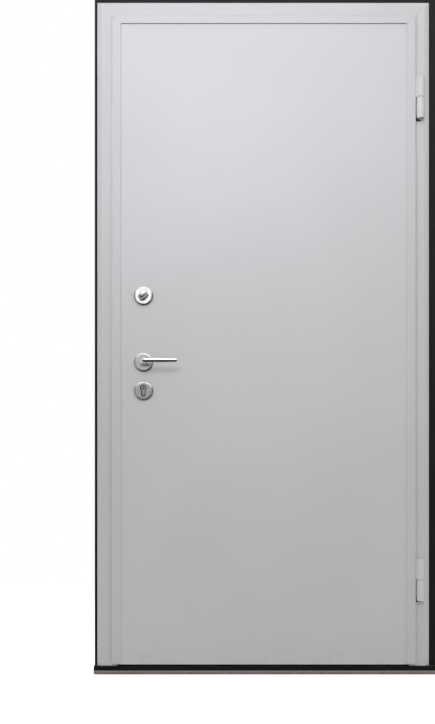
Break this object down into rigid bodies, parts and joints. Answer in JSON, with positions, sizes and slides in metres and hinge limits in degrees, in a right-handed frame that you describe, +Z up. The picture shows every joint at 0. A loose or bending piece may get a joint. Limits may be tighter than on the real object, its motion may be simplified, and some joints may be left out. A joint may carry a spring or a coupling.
{
  "type": "security door",
  "caption": "Lapped steel security door in a casing and box-section frame with threshold, barrel hinges, raised edge bands, lever handle, thumbturn and key cylinder.",
  "frame": {"origin": "on the underside of the threshold, midway along the casing and midway through the frame's depth", "axes": "+X to the hinge side, +Y away from the side the leaf opens to, +Z up"},
  "size_m": [1.0456, 0.1685, 2.066],
  "materials": {
    "pale_paint": "satin",
    "dark_paint": "satin",
    "polished_metal": "polished",
    "plain_steel": "satin",
    "seal_rubber": "matte",
    "sill_metal": "satin"
  },
  "bodies": {
    "frame": {"lock_post": "dark_paint", "hinge_post": "dark_paint", "head_beam": "dark_paint", "threshold": "dark_paint", "threshold_stop": "dark_paint", "sill_strip": "sill_metal", "casing_lock_side": "pale_paint", "casing_hinge_side": "pale_paint", "casing_head": "pale_paint", "seal_lock_side": "seal_rubber", "seal_hinge_side": "seal_rubber", "seal_head": "seal_rubber", "main_strike_plate": "plain_steel", "upper_strike_plate": "plain_steel", "upper_frame_knuckle": "pale_paint", "lower_frame_knuckle": "pale_paint", "hinge_pins": "plain_steel", "hinge_washers": "plain_steel"},
    "leaf": {"leaf_face_sheet": "pale_paint", "lock_side_band": "pale_paint", "top_band": "pale_paint", "hinge_side_band": "pale_paint", "leaf_back_sheet": "pale_paint", "lock_stile": "pale_paint", "hinge_stile": "pale_paint", "top_rail": "pale_paint", "bottom_rail": "pale_paint", "main_lock_forend": "plain_steel", "main_lock_bolts": "plain_steel", "latch_bolt": "plain_steel", "upper_lock_forend": "plain_steel", "upper_lock_bolt": "plain_steel", "upper_leaf_knuckle": "pale_paint", "lower_leaf_knuckle": "pale_paint", "lever_rosette_inside": "polished_metal", "lever_rosette_outside": "polished_metal", "cylinder_rosette_inside": "polished_metal", "cylinder_rosette_outside": "polished_metal", "lock_cylinder": "plain_steel", "thumbturn_rosette": "polished_metal"},
    "lever": {"lever_inside": "polished_metal", "lever_outside": "polished_metal", "lever_spindle": "plain_steel"},
    "thumbturn": {"thumbturn_knob": "polished_metal"}
  },
  "joints": [
    {"name": "leaf_swing", "type": "hinge", "parent": "frame", "child": "leaf", "pos_m": [0.4784, -0.064, 1], "axis": [0, 0, 1], "range_deg": [0, 170]},
    {"name": "lever_turn", "type": "hinge", "parent": "leaf", "child": "lever", "pos_m": [-0.3635, -0.033, 0.949], "axis": [0, 1, 0], "range_deg": [0, 45], "stiffness_Nm_per_rad": 1.5, "springref_deg": -22.92},
    {"name": "thumbturn_turn", "type": "hinge", "parent": "leaf", "child": "thumbturn", "pos_m": [-0.3635, -0.05, 1.151], "axis": [0, 1, 0], "range_deg": [0, 90]}
  ]
}
